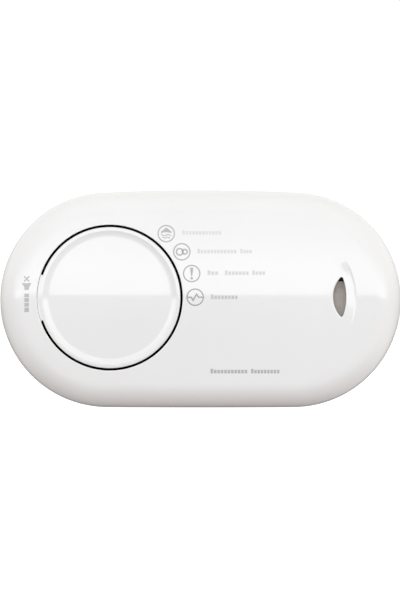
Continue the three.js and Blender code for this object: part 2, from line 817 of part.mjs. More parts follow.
place('sounder_horn', sounderHorn(), black, 0.5);
place('sounder_plate', sounderPlate(), '#c9a95a', 0.3, 1);
place('sounder_ceramic', sounderCeramic(), '#dcdad2', 0.35);
place('sounder_spring_centre', sounderSpring(button.x, horn.step + 5 * gap), steel, 0.3, 1);
place('sounder_spring_rim', sounderSpring(button.x - piezo.rimContact, horn.step + 3 * gap), steel, 0.3, 1);
place('sounder_gasket', sounderGasket(), '#0e0e0f', 0.9);

place('sensor_cell', sensorCell(), '#b9bcc0', 0.35, 0.9);
place('sensor_cap', sensorCap(), black, 0.5);
place('sensor_gasket', sensorGasket(), '#3a3a3c', 0.95);
place('vent_filter', ventFilter(), '#9b968f', 0.95);

caseScrewPlaces().forEach((at, i) => {
  place(`case_screw_${i + 1}`, screw(at, tower.seat, caseScrew), steel, 0.35, 1);
});
boardPosts.forEach((at, i) => {
  place(`board_screw_${i + 1}`, screw(at, board.back, boardScrew), steel, 0.35, 1);
});
place('rating_label', ratingLabel(), '#e4e5e6', 0.5);

export default alarm;
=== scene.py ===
import math

import bmesh
import bpy
from mathutils import Matrix, Vector


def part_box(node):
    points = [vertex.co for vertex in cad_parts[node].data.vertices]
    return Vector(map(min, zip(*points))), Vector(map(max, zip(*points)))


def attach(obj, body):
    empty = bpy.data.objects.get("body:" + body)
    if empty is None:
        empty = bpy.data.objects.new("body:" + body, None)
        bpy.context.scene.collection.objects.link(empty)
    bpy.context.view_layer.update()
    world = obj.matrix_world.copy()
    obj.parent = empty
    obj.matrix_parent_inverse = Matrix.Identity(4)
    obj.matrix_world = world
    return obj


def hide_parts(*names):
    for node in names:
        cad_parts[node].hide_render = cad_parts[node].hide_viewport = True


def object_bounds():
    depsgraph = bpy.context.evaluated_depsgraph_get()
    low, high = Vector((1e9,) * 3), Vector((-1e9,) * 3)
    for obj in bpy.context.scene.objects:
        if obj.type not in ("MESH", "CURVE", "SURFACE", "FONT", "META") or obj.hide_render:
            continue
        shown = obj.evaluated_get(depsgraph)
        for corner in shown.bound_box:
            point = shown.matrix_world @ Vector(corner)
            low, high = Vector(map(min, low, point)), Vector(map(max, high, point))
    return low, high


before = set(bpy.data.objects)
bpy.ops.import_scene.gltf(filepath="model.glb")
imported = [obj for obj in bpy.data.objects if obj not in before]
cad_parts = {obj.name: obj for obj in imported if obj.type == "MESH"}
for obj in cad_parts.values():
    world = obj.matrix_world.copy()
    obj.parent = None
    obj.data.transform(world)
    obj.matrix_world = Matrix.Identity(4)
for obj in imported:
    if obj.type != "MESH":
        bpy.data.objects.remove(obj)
cad_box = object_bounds()

# A battery carbon monoxide alarm, rebuilt finely round its CAD frame. It faces -Y. Sizes are in
# millimetres from the middle of its oval; MM and MIDDLE_Z take them to the row frame.
MM = 0.001
MIDDLE_Z = (cad_box[0][2] + cad_box[1][2]) / 2 / MM
ROUND = 144
ROD_STEPS = 48


# ------------------------------------------------------------------ sizes from the frame
def box_mm(node):
    """A CAD node's lowest and highest corners in millimetres, from the middle of the oval."""
    low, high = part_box(node)
    shift = Vector((0, 0, MIDDLE_Z))
    return low / MM - shift, high / MM - shift


def middle(node):
    low, high = box_mm(node)
    return (low + high) / 2


COVER_LOW, COVER_HIGH = box_mm("front_cover")
REAR_LOW, REAR_HIGH = box_mm("rear_cover")
DOOR_LOW, DOOR_HIGH = box_mm("battery_door")
LABEL_LOW, LABEL_HIGH = box_mm("rating_label")

HALF_WIDTH = COVER_HIGH.x
HALF_HEIGHT = COVER_HIGH.z
FRONT_Y = COVER_LOW.y
SPLIT_Y = COVER_HIGH.y
BACK_Y = REAR_HIGH.y

BUTTON = middle("sounder_gasket")
CELL = middle("sensor_cell")
LEDS = [middle(f"led_{name}") for name in ("ventilate", "alarm", "fault", "power")]
SCREWS = [middle(f"case_screw_{i}") for i in range(1, 5)]
POSTS = [middle(f"board_screw_{i}") for i in range(1, 4)]
STEM = middle("switch_stem")

# ------------------------------------------------------------------ sizes of the mouldings
# PAST is how far a cutter runs past the face that it opens.
PAST = 1.0
GAP = 0.3
WALL = 2.0
END_RADIUS = 32.1
END_MIDDLE = -0.3
EDGE_IN = 7.0
EDGE_DEEP = 10.0
CROWN_X = 900.0
CROWN_Z = 200.0

BUTTON_RADIUS = 21.15
BUTTON_HOLE = 21.75
BUTTON_ROUND = 0.45
DISH_FLAT = 18.1
DISH_RIM = 20.05
DISH_DEPTH = 0.72
RIM_SUNK = 0.02
HOLE_LIP = 0.28
WELL_RADIUS = 22.9
WELL_BACK = -8.0
LEDGE_RADIUS = 20.0
LEDGE = 0.9
WEB_HALF_ANGLE = math.radians(18.5)
TAB_HALF = 6.8
TAB_FRONT = -13.2
TAB_BACK = -11.9
TRUNNION_X = BUTTON.x - 24.2
TRUNNION_Y = -12.3
TRUNNION_RADIUS = 1.1
TRUNNION_HALF = 8.8

INLET_X = 42.3
INLET_Z = 0.6
INLET_HALF = 6.32
INLET_LEFT = 2.7
INLET_RIGHT = 1.25
INLET_LIP = 0.22
TIP_ROUND = 0.5
SCOOP_X = 22.9
SCOOP_Z = 0.2
SCOOP_RADIUS = 23.7
SCOOP_HALF = 12.2
SCOOP_DEPTH = 0.3
SCOOP_WIDTH = 6.0
SCOOP_FADE_LOW = 1.6 * SCOOP_HALF
SCOOP_FADE_HIGH = 0.5 * SCOOP_HALF
CREASE = 0.5

BOSS_RADIUS = 2.8
PILOT = 1.6
PILOT_FRONT = -2.0
TOWER = 4.2
COUNTERBORE = 3.1
SCREW_SEAT = 11.0
POST_RADIUS = 2.4
POST_BACK = -2.5
POST_PILOT = 1.3
POST_PILOT_FRONT = -11.0
CELL_RING_INNER = 10.0
CELL_RING_OUTER = 11.2
CELL_RING_BACK = -9.0

REAR_STEP = 0.4
REAR_DRAFT = 1.6
REAR_ROUND = 3.0
LIP_OUT = 2.5
LIP_THICK = 1.3
LIP_FRONT = 5.0
FOOT_INNER = 16.0
FOOT_OUTER = 28.0
FOOT_FRONT = 8.9
FOOT_BACK = 15.5
FOOT_TOP = -29.0
KEYHOLE_X = 30.0
KEYHOLE_Z = 20.0
KEYHOLE_HEAD = 4.25
KEYHOLE_SLOT = 2.25
KEYHOLE_LENGTH = 4.0

BAY_Z = (DOOR_LOW.z + DOOR_HIGH.z) / 2
TRAY_HALF_X = 29.7
TRAY_HALF_Z = 15.1
TRAY_FLOOR = 1.2
TRAY_WALL = 1.4
CONTACT_LOW = 5.0
CONTACT_HIGH = 9.8
# The door's own sizes are rounded to a micrometre, so that planes that should agree do.
HINGE_RADIUS = 1.4
HINGE_X = round(DOOR_LOW.x, 3) + HINGE_RADIUS
HINGE_Y = 16.5
PIN_RADIUS = 0.8
PIN_HALF = round(DOOR_HIGH.z - DOOR_LOW.z, 3) / 2
DOOR_RIGHT = round(DOOR_HIGH.x, 3)
DOOR_FRONT = 16.4
DOOR_BACK = round(DOOR_HIGH.y, 3)
DOOR_HALF = PIN_HALF - 0.9
TONGUE_FRONT = round(DOOR_LOW.y, 3)
TONGUE_HALF = 4.0

NUB_TALL = 1.2
NUB_RADIUS = 2.7
SLEEVE_TURN = 1.3


# ------------------------------------------------------------------ mesh code
def to_row(point):
    return Vector((point[0], point[1], point[2] + MIDDLE_Z)) * MM


def finished(bm):
    """Turns the faces outwards and returns the mesh."""
    bmesh.ops.recalc_face_normals(bm, faces=bm.faces)
    mesh = bpy.data.meshes.new("solid")
    bm.to_mesh(mesh)
    bm.free()
    return mesh


def skin(rings, closed=False):
    """A closed mesh over rings of points in millimetres. A ring of one point is a pole, and the
    first and last rings are capped unless the rings close on themselves."""
    bm = bmesh.new()
    rows = [[bm.verts.new(to_row(point)) for point in ring] for ring in rings]
    pairs = list(zip(rows, rows[1:] + rows[:1])) if closed else list(zip(rows, rows[1:]))
    for one, two in pairs:
        count = max(len(one), len(two))
        for i in range(count):
            j = (i + 1) % count
            corners = [one[i % len(one)], one[j % len(one)], two[j % len(two)], two[i % len(two)]]
            bm.faces.new(list(dict.fromkeys(corners)))
    if not closed:
        for row in (rows[0], rows[-1]):
            if len(row) > 2:
                bm.faces.new(row)
    return finished(bm)


def spread(start, stop, steps):
    """Evenly spaced values from start to just before stop."""
    return [start + (stop - start) * i / steps for i in range(steps)]


def quarter_turn(steps):
    """Angles from nothing to a quarter turn, both ends included."""
    return [i / steps * math.pi / 2 for i in range(steps + 1)]


def round_points(radius, steps):
    """Points on a circle, as pairs of distances from its middle."""
    return [(radius * math.cos(turn), radius * math.sin(turn)) for turn in spread(0, 2 * math.pi, steps)]


def circle(x, y, z, radius, steps=ROUND):
    """A ring round a line along Y, or one point where the radius is zero."""
    if radius == 0:
        return [(x, y, z)]
    return [(x + across, y, z + up) for across, up in round_points(radius, steps)]


def ring_of(x, z, inner, outer, front, back):
    """A short tube round a line along Y."""
    profile = ((inner, front), (outer, front), (outer, back), (inner, back))
    return skin([circle(x, y, z, radius) for radius, y in profile], closed=True)


def rod(x, z, radius, front, back, steps=ROD_STEPS):
    return skin([circle(x, y, z, radius, steps) for y in (front, back)])


def upright_rod(x, y, radius, bottom, top):
    """A rod along Z."""
    outline = [(x + across, y + deep) for across, deep in round_points(radius, ROD_STEPS)]
    return skin([[(px, py, z) for px, py in outline] for z in (bottom, top)])


def slab(outline, front, back):
    """An outline of (x, z) points that runs from front to back along Y."""
    return skin([[(x, y, z) for x, z in outline] for y in (front, back)])


def block(left, right, front, back, bottom, top):
    return slab([(left, bottom), (right, bottom), (right, top), (left, top)], front, back)


def add_object(name, data):
    obj = bpy.data.objects.new(name, data)
    bpy.context.scene.collection.objects.link(obj)
    return obj


def combine(operation, body, tools):
    """Joins or cuts closed meshes and returns the result as a new mesh."""
    base = add_object("base", body)
    helpers = [add_object("tool", tool) for tool in tools]
    for helper in helpers:
        modifier = base.modifiers.new("combine", "BOOLEAN")
        modifier.operation = operation
        modifier.solver = "MANIFOLD"
        modifier.object = helper
    graph = bpy.context.evaluated_depsgraph_get()
    graph.update()
    result = bpy.data.meshes.new_from_object(base.evaluated_get(graph))
    for thing in [base] + helpers:
        bpy.data.objects.remove(thing)
    return result


def join(body, *tools):
    return combine("UNION", body, tools)


def cut(body, *tools):
    return combine("DIFFERENCE", body, tools)


def common(body, tool):
    return combine("INTERSECT", body, [tool])


def raised(mesh, z):
    mesh.transform(Matrix.Translation(Vector((0, 0, z)) * MM))
    return mesh


def piece(name, mesh, material, body, replaced=(), bevel=0.0):
    """Puts a finished mesh in the scene as a piece that rides on a body."""
    sharp_angle, bevel_angle = math.radians(35), math.radians(50)
    mesh.name = name
    obj = add_object(name, mesh)
    mesh.materials.clear()
    mesh.materials.append(material)
    for polygon in mesh.polygons:
        polygon.use_smooth = True
        polygon.material_index = 0
    mesh.set_sharp_from_angle(angle=sharp_angle)
    if bevel:
        soften = obj.modifiers.new("soften", "BEVEL")
        soften.width = bevel * MM
        soften.segments = 2
        soften.limit_method = "ANGLE"
        soften.angle_limit = bevel_angle
        soften.use_clamp_overlap = True
    weigh = obj.modifiers.new("weigh", "WEIGHTED_NORMAL")
    weigh.keep_sharp = True
    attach(obj, body)
    if replaced:
        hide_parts(*replaced)
    return obj


def shaded(obj, material, inside):
    """Gives a second finish to the faces whose corners all pass a test on their place in mm."""
    mesh = obj.data
    mesh.materials.append(material)
    passed = []
    for vertex in mesh.vertices:
        x, y, z = vertex.co / MM
        passed.append(inside(x, y, z - MIDDLE_Z))
    for polygon in mesh.polygons:
        if all(passed[i] for i in polygon.vertices):
            polygon.material_index = 1


# ------------------------------------------------------------------ the oval and the face
END_CENTRE = HALF_WIDTH - END_RADIUS


def bowed_side(rise):
    """The middle, radius and end of a long side that stands rise beyond the round ends."""
    centre = (END_CENTRE ** 2 - rise ** 2) / (2 * rise)
    return centre, centre + END_RADIUS + rise, math.atan2(centre, END_CENTRE)


TOP_SIDE = bowed_side(HALF_HEIGHT - END_MIDDLE - END_RADIUS)
UNDERSIDE = bowed_side(HALF_HEIGHT + END_MIDDLE - END_RADIUS)


def facings():
    """Directions that the outline faces, evenly spaced on each of its four arcs."""
    ends, sides = ((120, 60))
    top, under = TOP_SIDE[2], UNDERSIDE[2]
    return (
        spread(-under, top, ends)
        + spread(top, math.pi - top, sides)
        + spread(math.pi - top, math.pi + under, ends)
        + spread(math.pi + under, 2 * math.pi - under, sides)
    )


FACINGS = facings()


def oval_point(facing, inset):
    across = math.cos(facing)
    up = math.sin(facing)
    centre, radius, turn = TOP_SIDE if up > 0 else UNDERSIDE
    if abs(up) > math.sin(turn):
        radius -= inset
        return radius * across, END_MIDDLE + radius * up - math.copysign(centre, up)
    radius = END_RADIUS - inset
    return math.copysign(END_CENTRE, across) + radius * across, END_MIDDLE + radius * up


def oval(inset):
    return [oval_point(facing, inset) for facing in FACINGS]


def crown(x, z):
    """How far the face lies behind its foremost point."""
    return x * x / (2 * CROWN_X) + z * z / (2 * CROWN_Z)


def eased(share):
    share = min(1.0, max(0.0, share))
    return share * share * (3 - 2 * share)


def scoop(x, z):
    """Depth of the shallow scoop to the right of the gas inlet: it deepens slowly to the right and
    upwards, and ends at a creased edge on an arc."""
    across = x - SCOOP_X
    up = z - SCOOP_Z
    reach = math.hypot(across, up)
    if across < 0 or reach > SCOOP_RADIUS or abs(up) > SCOOP_HALF:
        return 0.0
    inwards = SCOOP_RADIUS - reach
    deep = SCOOP_DEPTH * eased(1 - (inwards - CREASE) / SCOOP_WIDTH)
    rise = eased((up + SCOOP_HALF) / SCOOP_FADE_LOW) * eased((SCOOP_HALF - up) / SCOOP_FADE_HIGH)
    return deep * rise * min(1.0, inwards / CREASE)


def face_y(x, z):
    return FRONT_Y + crown(x, z) + scoop(x, z)


# ------------------------------------------------------------------ front cover
def face_scales():
    """Sizes of the rings over the face, as shares of its edge: closest by the scoop's crease."""
    crease_outside, crease_inside = 0.92, 0.83
    return (
        spread(1, crease_outside, 14)[1:]
        + spread(crease_outside, crease_inside, 64)
        + spread(crease_inside, 0, 50)
    )


def front_body(inset, back, carved):
    """The front cover's outside, or the same surface moved in and back by inset."""
    rings = [[(0, back, 0)], [(x, back, z) for x, z in oval(inset)]]
    for angle in quarter_turn(20):
        drop = FRONT_Y + inset + EDGE_DEEP * (1 - math.sin(angle))
        points = oval(inset + EDGE_IN * (1 - math.cos(angle)))
        rings.append([(x, drop + crown(x, z), z) for x, z in points])
    for scale in face_scales():
        points = [(x * scale, z * scale) for x, z in oval(inset + EDGE_IN)]
        dents = [scoop(x, z) if carved else 0.0 for x, z in points]
        rings.append([(x, FRONT_Y + inset + crown(x, z) + dent, z) for (x, z), dent in zip(points, dents)])
    rings.append([(0, FRONT_Y + inset, 0)])
    return skin(rings)


def crowned(x, z, profile):
    """A body turned about a line along Y, from (radius, sunk) pairs that follow the face."""
    rings = []
    for radius, sunk in profile:
        points = circle(x, 0, z, radius)
        rings.append([(px, FRONT_Y + crown(px, pz) + sunk, pz) for px, _, pz in points])
    return skin(rings)


def button_hole():
    """Cutter for the button's hole, whose mouth is rounded."""
    below = 3.0
    profile = [(0, -PAST), (BUTTON_HOLE + HOLE_LIP, -PAST)]
    for angle in quarter_turn(5):
        radius = BUTTON_HOLE + HOLE_LIP * (1 - math.sin(angle))
        profile.append((radius, HOLE_LIP * (1 - math.cos(angle))))
    profile += [(BUTTON_HOLE, below), (0, below)]
    return crowned(BUTTON.x, BUTTON.z, profile)


def inlet_outline(grow):
    """The almond of two arcs with rounded tips, moved out by grow, as (x, z) points."""
    side_steps, tip_steps = 28, 6
    left_radius = (INLET_HALF ** 2 + INLET_LEFT ** 2) / (2 * INLET_LEFT)
    right_radius = (INLET_HALF ** 2 + INLET_RIGHT ** 2) / (2 * INLET_RIGHT)
    left_x = INLET_X - INLET_LEFT + left_radius
    right_x = INLET_X + INLET_RIGHT - right_radius
    spacing = left_x - right_x

    def half_angle(radius, other):
        """Half the turn of one side, up to the middles of its two tips."""
        one, two = radius - TIP_ROUND, other - TIP_ROUND
        return math.acos((one ** 2 + spacing ** 2 - two ** 2) / (2 * one * spacing))

    outline = []
    for centre, radius, other, start in (
        (right_x, right_radius, left_radius, 0.0),
        (left_x, left_radius, right_radius, math.pi),
    ):
        half = half_angle(radius, other)
        stop = start + half
        tip_x = centre + (radius - TIP_ROUND) * math.cos(stop)
        tip_z = INLET_Z + (radius - TIP_ROUND) * math.sin(stop)
        tip_stop = stop + math.pi - half - half_angle(other, radius)
        for x, z, reach, angles in (
            (centre, INLET_Z, radius + grow, spread(start - half, stop, side_steps)),
            (tip_x, tip_z, TIP_ROUND + grow, spread(stop, tip_stop, tip_steps)),
        ):
            outline += [(x + reach * math.cos(angle), z + reach * math.sin(angle)) for angle in angles]
    return outline


def inlet_cutter():
    """Cutter for the gas inlet, whose mouth is rounded."""
    above, below = 2.0, 4.0
    levels = [(INLET_LIP, -above)]
    for angle in quarter_turn(4):
        levels.append((INLET_LIP * (1 - math.sin(angle)), INLET_LIP * (1 - math.cos(angle))))
    levels.append((0.0, below))
    return skin([[(x, face_y(x, z) + sunk, z) for x, z in inlet_outline(grow)] for grow, sunk in levels])


def hinge_saddle(up):
    """A bearing for one end of the button's trunnion, open to the back so that the pin snaps in."""
    play, left, right, front = 0.6, 2.8, 2.6, FRONT_Y + 1.2
    near, far = TAB_HALF + play, TRUNNION_HALF + play
    bottom, top = (near, far) if up > 0 else (-far, -near)
    back = TRUNNION_Y + 2.2
    mouth = TRUNNION_RADIUS - 0.2
    return cut(
        block(TRUNNION_X - left, TRUNNION_X + right, front, back, bottom, top),
        upright_rod(TRUNNION_X, TRUNNION_Y, TRUNNION_RADIUS + GAP, bottom - PAST, top + PAST),
        block(
            TRUNNION_X - mouth, TRUNNION_X + mouth, TRUNNION_Y, back + PAST, bottom - PAST, top + PAST,
        ),
    )


def tab_notch():
    """Cutter for the button's tab to pass through the wall of its well."""
    play, left, right = 0.5, BUTTON.x - 24, BUTTON.x - 19.8
    half = TAB_HALF + play
    return block(left, right, TAB_FRONT - play, TAB_BACK + play + GAP, -half, half)


def front_cover():
    shell = cut(front_body(0, SPLIT_Y, True), front_body(WALL, SPLIT_Y + PAST, False))
    rib_root = 0.8
    room = front_body(WALL - rib_root, SPLIT_Y, False)
    ribs = join(
        ring_of(BUTTON.x, BUTTON.z, BUTTON_HOLE - 0.4, WELL_RADIUS, FRONT_Y, WELL_BACK),
        ring_of(BUTTON.x, BUTTON.z, LEDGE_RADIUS, WELL_RADIUS, WELL_BACK - LEDGE, WELL_BACK),
        ring_of(CELL.x, CELL.z, CELL_RING_INNER, CELL_RING_OUTER, FRONT_Y, CELL_RING_BACK),
        hinge_saddle(1),
        hinge_saddle(-1),
        *[rod(at.x, at.z, BOSS_RADIUS, FRONT_Y, SPLIT_Y) for at in SCREWS],
        *[rod(at.x, at.z, POST_RADIUS, FRONT_Y, POST_BACK) for at in POSTS],
    )
    return cut(
        join(shell, common(ribs, room)),
        button_hole(),
        rod(BUTTON.x, BUTTON.z, BUTTON_HOLE, FRONT_Y + 1.8, WELL_BACK - LEDGE, ROUND),
        tab_notch(),
        inlet_cutter(),
        *[rod(at.x, at.z, PILOT, PILOT_FRONT, SPLIT_Y + PAST) for at in SCREWS],
        *[rod(at.x, at.z, POST_PILOT, POST_PILOT_FRONT, PILOT_FRONT) for at in POSTS],
    )


# ------------------------------------------------------------------ button
def dish(radius):
    """How deep the button's face lies under the crown of the cover: flat in the middle, then a
    hollow slope that is steepest where it meets the rim."""
    along = (radius - DISH_FLAT) / (DISH_RIM - DISH_FLAT)
    return RIM_SUNK + (DISH_DEPTH - RIM_SUNK) * (1 - max(0.0, along) ** 1.9)


def button_profile():
    inside, plate_back, skirt_back = 19.6, 2.9, 4.4
    profile = [(0, plate_back), (inside, plate_back), (inside, skirt_back), (BUTTON_RADIUS, skirt_back)]
    for angle in quarter_turn(6):
        radius = BUTTON_RADIUS - BUTTON_ROUND * (1 - math.cos(angle))
        profile.append((radius, RIM_SUNK + BUTTON_ROUND * (1 - math.sin(angle))))
    for radius in spread(DISH_RIM, DISH_FLAT, 24):
        profile.append((radius, dish(radius)))
    for radius in spread(DISH_FLAT, 0, 40):
        profile.append((radius, DISH_DEPTH))
    profile.append((0, DISH_DEPTH))
    return profile


def button_web():
    """The web that fills the gap at the button's left side, with a shallow groove along it."""
    inner, outer, sunk, groove, back = BUTTON_RADIUS - 0.53, BUTTON_HOLE - 0.05, 0.1, 0.17, 2.6
    section = [
        (inner, sunk), (inner + 0.43, sunk), (inner + 0.68, groove), (outer - 0.2, groove), (outer, sunk),
        (outer, back), (inner, back),
    ]
    steps = 24
    rings = []
    for i in range(steps + 1):
        angle = math.pi + WEB_HALF_ANGLE * (2 * i / steps - 1)
        ring = []
        for radius, depth in section:
            x = BUTTON.x + radius * math.cos(angle)
            z = BUTTON.z + radius * math.sin(angle)
            ring.append((x, FRONT_Y + crown(x, z) + depth, z))
        rings.append(ring)
    return skin(rings)


def test_button():
    disc = crowned(BUTTON.x, BUTTON.z, button_profile())
    tab = block(TRUNNION_X, BUTTON.x - 20.4, TAB_FRONT, TAB_BACK, -TAB_HALF, TAB_HALF)
    pin = upright_rod(TRUNNION_X, TRUNNION_Y, TRUNNION_RADIUS, -TRUNNION_HALF, TRUNNION_HALF)
    presser_radius, presser_front, presser_back = 2.2, -16.0, -12.3
    presser = rod(STEM.x, BUTTON.z, presser_radius, presser_front, presser_back)
    return join(disc, button_web(), tab, pin, presser)


# ------------------------------------------------------------------ rear cover and door
def rear_body(inset, front, back):
    rings = [[(0, back, 0)]]
    for angle in reversed(quarter_turn(10)):
        y = back - REAR_ROUND + REAR_ROUND * math.sin(angle)
        points = oval(inset + REAR_DRAFT + REAR_ROUND * (1 - math.cos(angle)))
        rings.append([(x, y, z) for x, z in points])
    rings.append([(x, front, z) for x, z in oval(inset + REAR_STEP)])
    rings.append([(0, front, 0)])
    return skin(rings)


def keyhole_cut(side):
    x, top = side * KEYHOLE_X, KEYHOLE_Z + KEYHOLE_LENGTH
    front, back = BACK_Y - WALL - PAST, BACK_Y + PAST
    return join(
        rod(x, KEYHOLE_Z, KEYHOLE_HEAD, front, back, 64),
        rod(x, top, KEYHOLE_SLOT, front, back),
        block(x - KEYHOLE_SLOT, x + KEYHOLE_SLOT, front, back, KEYHOLE_Z, top),
    )


def bay_cuts():
    """Cutters for the battery tray, the door's seat, its hinge, a finger dip, the latch and the
    two slots that the contacts pass through."""
    back, door_half = BACK_Y + PAST, DOOR_HALF + GAP
    hinge_room, tongue_room, latch_half = 1.9, 2.4, TONGUE_HALF + 0.4
    dip_radius, dip_depth, dip_out = 4.5, 1.2, 1.2
    slot_left, slot_right, slot_front, slot_back = -TRAY_HALF_X, 1.2 - TRAY_HALF_X, -1.0, TRAY_FLOOR + 1
    cutters = [
        block(-TRAY_HALF_X, TRAY_HALF_X, TRAY_FLOOR, back, -TRAY_HALF_Z, TRAY_HALF_Z),
        block(HINGE_X - hinge_room, DOOR_RIGHT + GAP, DOOR_FRONT - GAP, back, -door_half, door_half),
        upright_rod(HINGE_X, HINGE_Y, HINGE_RADIUS + 0.4, -door_half, door_half),
        upright_rod(HINGE_X, HINGE_Y, PIN_RADIUS + GAP, -PIN_HALF - GAP, PIN_HALF + GAP),
        rod(DOOR_RIGHT + dip_out, 0, dip_radius, BACK_Y - dip_depth, back),
        block(DOOR_RIGHT - tongue_room, DOOR_RIGHT + GAP, TONGUE_FRONT - GAP, back, -latch_half, latch_half),
    ]
    for bottom, top in ((CONTACT_LOW, CONTACT_HIGH), (-CONTACT_HIGH, -CONTACT_LOW)):
        cutters.append(block(slot_left, slot_right, slot_front, slot_back, bottom, top))
    return [raised(cutter, BAY_Z) for cutter in cutters]


def rear_cover():
    front = SPLIT_Y + GAP
    body = cut(rear_body(0, front, BACK_Y), rear_body(WALL, front - PAST, BACK_Y - WALL))
    lip = cut(
        slab(oval(LIP_OUT), LIP_FRONT, front + 1),
        slab(oval(LIP_OUT + LIP_THICK), LIP_FRONT - PAST, front + 1 + PAST),
        *[rod(at.x, at.z, BOSS_RADIUS + GAP, LIP_FRONT - PAST, front) for at in SCREWS],
    )
    root = 0.8
    towers = [
        common(rod(at.x, at.z, TOWER, front, BACK_Y - 0.5), rear_body(root, front, BACK_Y - root))
        for at in SCREWS
    ]
    wall_x, wall_z = TRAY_HALF_X + TRAY_WALL, TRAY_HALF_Z + TRAY_WALL
    tray = block(-wall_x, wall_x, TRAY_FLOOR - TRAY_WALL, BACK_Y - 1, -wall_z, wall_z)
    bed_left, bed_front, bed_half = HINGE_X - 3.2, 13.4, PIN_HALF + 1
    hinge_bed = block(bed_left, -TRAY_HALF_X, bed_front, BACK_Y - 1, -bed_half, bed_half)
    feet = [
        block(left, left + FOOT_OUTER - FOOT_INNER, FOOT_FRONT, FOOT_BACK, REAR_LOW.z, FOOT_TOP)
        for left in (FOOT_INNER, -FOOT_OUTER)
    ]
    label_depth = 0.6
    label_recess = block(
        LABEL_LOW.x - GAP, LABEL_HIGH.x + GAP, BACK_Y - label_depth, BACK_Y + PAST,
        LABEL_LOW.z - GAP, LABEL_HIGH.z + GAP,
    )
    screw_heads = [rod(at.x, at.z, COUNTERBORE, SCREW_SEAT, BACK_Y + PAST) for at in SCREWS]
    screw_holes = [rod(at.x, at.z, PILOT, front - PAST, SCREW_SEAT + PAST) for at in SCREWS]
    return cut(
        join(body, lip, raised(tray, BAY_Z), raised(hinge_bed, BAY_Z), *towers, *feet),
        *bay_cuts(), label_recess, keyhole_cut(-1), keyhole_cut(1), *screw_heads, *screw_holes,
    )


def battery_door():
    plate = block(HINGE_X, DOOR_RIGHT, DOOR_FRONT, DOOR_BACK, -DOOR_HALF, DOOR_HALF)
    edge = join(
        upright_rod(HINGE_X, HINGE_Y, HINGE_RADIUS, -DOOR_HALF, DOOR_HALF),
        upright_rod(HINGE_X, HINGE_Y, PIN_RADIUS, -PIN_HALF, PIN_HALF),
    )
    tongue_left = DOOR_RIGHT - 1.6
    tongue = block(tongue_left, DOOR_RIGHT, TONGUE_FRONT, DOOR_BACK, -TONGUE_HALF, TONGUE_HALF)
    pitch, width, depth, half, first = 1.8, 0.8, 0.35, 7, DOOR_RIGHT - 3.8
    grooves = []
    for i in range(6):
        right = first - pitch * i
        grooves.append(block(right - width, right, DOOR_BACK - depth, DOOR_BACK + PAST, -half, half))
    return raised(cut(join(plate, edge, tongue), *grooves), BAY_Z)


# ------------------------------------------------------------------ cells
def aa_cell(node, way):
    """A steel can in a film sleeve with rolled ends. Its nub points along X, to the side way."""
    low, high = box_mm(node)
    base = low.x if way > 0 else high.x
    axis = (low + high) / 2
    radius = (high.z - low.z) / 2
    total = high.x - low.x
    end = total - NUB_TALL
    bare = radius - SLEEVE_TURN
    profile = [
        (0.0, 0.0), (0.0, bare - 1.3), (0.3, bare - 0.9), (0.3, bare),
        (0.05, bare + 0.05), (0.0, radius - 0.6), (0.15, radius - 0.15), (0.55, radius),
        (end - 0.55, radius), (end - 0.15, radius - 0.15), (end, radius - 0.6), (end - 0.05, bare + 0.05),
        (end - 0.3, bare), (end - 0.3, NUB_RADIUS + 0.5), (end, NUB_RADIUS),
        (total - 0.35, NUB_RADIUS), (total, NUB_RADIUS - 0.35), (total, 0.0),
    ]
    rings = []
    for along, reach in profile:
        points = round_points(reach, 96) if reach else [(0, 0)]
        rings.append([(base + way * along, axis.y + deep, axis.z + up) for deep, up in points])
    return skin(rings)


def bare_steel(node):
    """A test for the faces of a cell that its sleeve leaves bare."""
    low, high = box_mm(node)
    axis = (low + high) / 2
    bare = (high.z - low.z) / 2 - SLEEVE_TURN + 0.02
    return lambda x, y, z: math.hypot(y - axis.y, z - axis.z) < bare


# ------------------------------------------------------------------ printed marks
INK_UP = 0.03
INK_DOWN = 0.03
MARK_RADIUS = 2.43
MARK_LINE = 0.38
CAPTION_TALL = 1.05
FIRST_BLOCK = 1.3
BLOCK_PITCH = 1.0
BLOCK_GAP = 0.24
SPEAKER_X = -51.95
SPEAKER_CROSS_Z = 6.0


def inked(outlines, touching=False):
    """Thin plates of ink on the face, one for each outline of (x, z) points. Plates that touch are
    joined at their shared corners, and the walls between them are dropped."""
    bm = bmesh.new()
    for outline in outlines:
        rows = []
        for lift in (-INK_UP, INK_DOWN):
            rows.append([bm.verts.new(to_row((x, face_y(x, z) + lift, z))) for x, z in outline])
        count = len(outline)
        for i in range(count):
            j = (i + 1) % count
            bm.faces.new([rows[0][i], rows[0][j], rows[1][j], rows[1][i]])
        for row in rows:
            bm.faces.new(row)
    if touching:
        bmesh.ops.remove_doubles(bm, verts=bm.verts, dist=1e-7)
        walls = [face for face in bm.faces if all(len(edge.link_faces) > 2 for edge in face.edges)]
        bmesh.ops.delete(bm, geom=walls, context="FACES")
    return finished(bm)


def stroke_quads(points, line):
    """A polyline of one width as mitred quads, so that each quad can follow the face."""
    sides = []
    for i, (x, z) in enumerate(points):
        before = Vector(points[max(i - 1, 0)])
        after = Vector(points[min(i + 1, len(points) - 1)])
        here = Vector((x, z))
        ways = [way.normalized() for way in (here - before, after - here) if way.length > 0]
        along = sum(ways, Vector((0, 0))).normalized()
        reach = line / 2 / max(0.5, along.dot(ways[0]))
        across = Vector((-along.y, along.x)) * reach
        sides.append((here + across, here - across))
    return [
        [tuple(one[0]), tuple(two[0]), tuple(two[1]), tuple(one[1])] for one, two in zip(sides, sides[1:])
    ]


